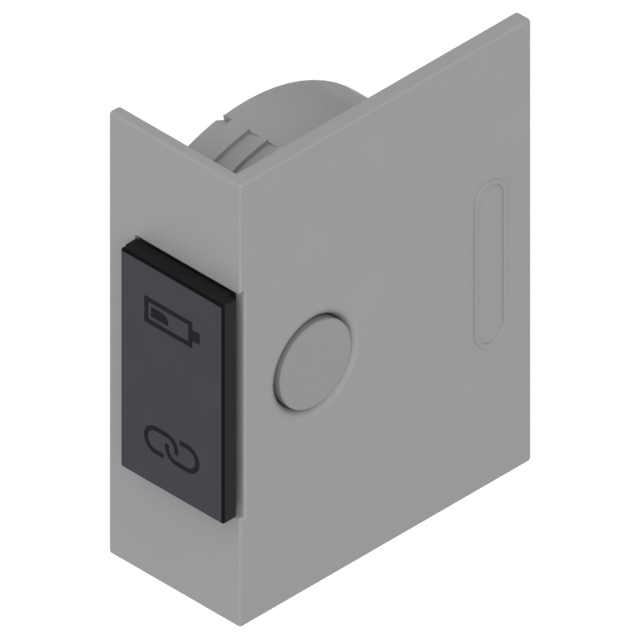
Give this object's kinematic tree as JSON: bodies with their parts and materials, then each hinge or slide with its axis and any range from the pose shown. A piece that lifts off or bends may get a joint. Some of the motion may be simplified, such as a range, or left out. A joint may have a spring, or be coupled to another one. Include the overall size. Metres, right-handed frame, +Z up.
{
  "type": "wireless cabinet push switch",
  "caption": "Battery-powered radio push switch with an L-shaped housing, a round plug for a cabinet side panel, a push cap, a release button and a slide-out battery tray.",
  "frame": {"origin": "centre of the plug's round end face, on the plug's axis", "axes": "+X along the plug's axis towards the side panel's outer face, -Y to the front where the push cap is, +Z up along the housing's height"},
  "size_m": [0.0151, 0.0349, 0.0434],
  "materials": {
    "housing_nylon": "fine moulded grain, light grey",
    "button_nylon": "fine moulded grain, neutral grey",
    "cap_plastic": "satin anthracite",
    "tray_plastic": "moulded black",
    "plunger_plastic": "moulded black",
    "chip_plastic": "moulded epoxy",
    "cell_steel": "spun nickel-plated steel",
    "spring_steel": "rolled strip",
    "screw_steel": "zinc-plated",
    "contact_gold": "gold-flashed strip",
    "board_laminate": "green solder mask on glass laminate",
    "ceramic": "fired ceramic with tinned ends",
    "guide_clear": "clear moulded acrylic",
    "lamp_white": "white lamp package"
  },
  "bodies": {
    "housing": {"housing": "housing_nylon", "rear_cover": "housing_nylon", "cover_screw_1": "screw_steel", "cover_screw_2": "screw_steel", "cover_screw_3": "screw_steel"},
    "release": {"release_button": "button_nylon"},
    "tray": {"battery_tray": "tray_plastic", "coin_cell": "cell_steel", "contact_negative": "contact_gold", "contact_positive": "contact_gold", "latch_spring": "spring_steel", "circuit_board": "board_laminate", "board_screw_1": "screw_steel", "board_screw_2": "screw_steel", "light_guide_battery": "guide_clear", "light_guide_link": "guide_clear", "led_battery": "lamp_white", "led_link": "lamp_white", "radio_chip": "chip_plastic", "crystal": "spring_steel", "chip_antenna": "lamp_white", "buffer_capacitor": "ceramic", "inductor": "chip_plastic", "capacitor_1": "ceramic", "capacitor_2": "ceramic", "capacitor_3": "ceramic", "resistor_1": "chip_plastic", "resistor_2": "chip_plastic", "resistor_3": "chip_plastic", "switch_body": "chip_plastic", "switch_cover": "spring_steel", "switch_dome": "spring_steel"},
    "cap": {"button_cap": "cap_plastic"},
    "plunger": {"switch_plunger": "plunger_plastic"}
  },
  "joints": [
    {"name": "release_press", "type": "slide", "parent": "housing", "child": "release", "axis": [-1, 0, 0], "range_m": [0, 0.0008], "stiffness_N_per_m": 400, "springref_m": -0.001},
    {"name": "tray_slide", "type": "slide", "parent": "housing", "child": "tray", "axis": [0, -1, 0], "range_m": [0, 0.022]},
    {"name": "cap_press", "type": "slide", "parent": "tray", "child": "cap", "axis": [0, 1, 0], "range_m": [0, 0.0004], "stiffness_N_per_m": 800, "springref_m": -0.001},
    {"name": "plunger_press", "type": "slide", "parent": "tray", "child": "plunger", "axis": [0, 1, 0], "range_m": [0, 0.0004]}
  ],
  "couplings": [
    {"joint": "plunger_press", "follows": "cap_press", "ratio": 1}
  ]
}
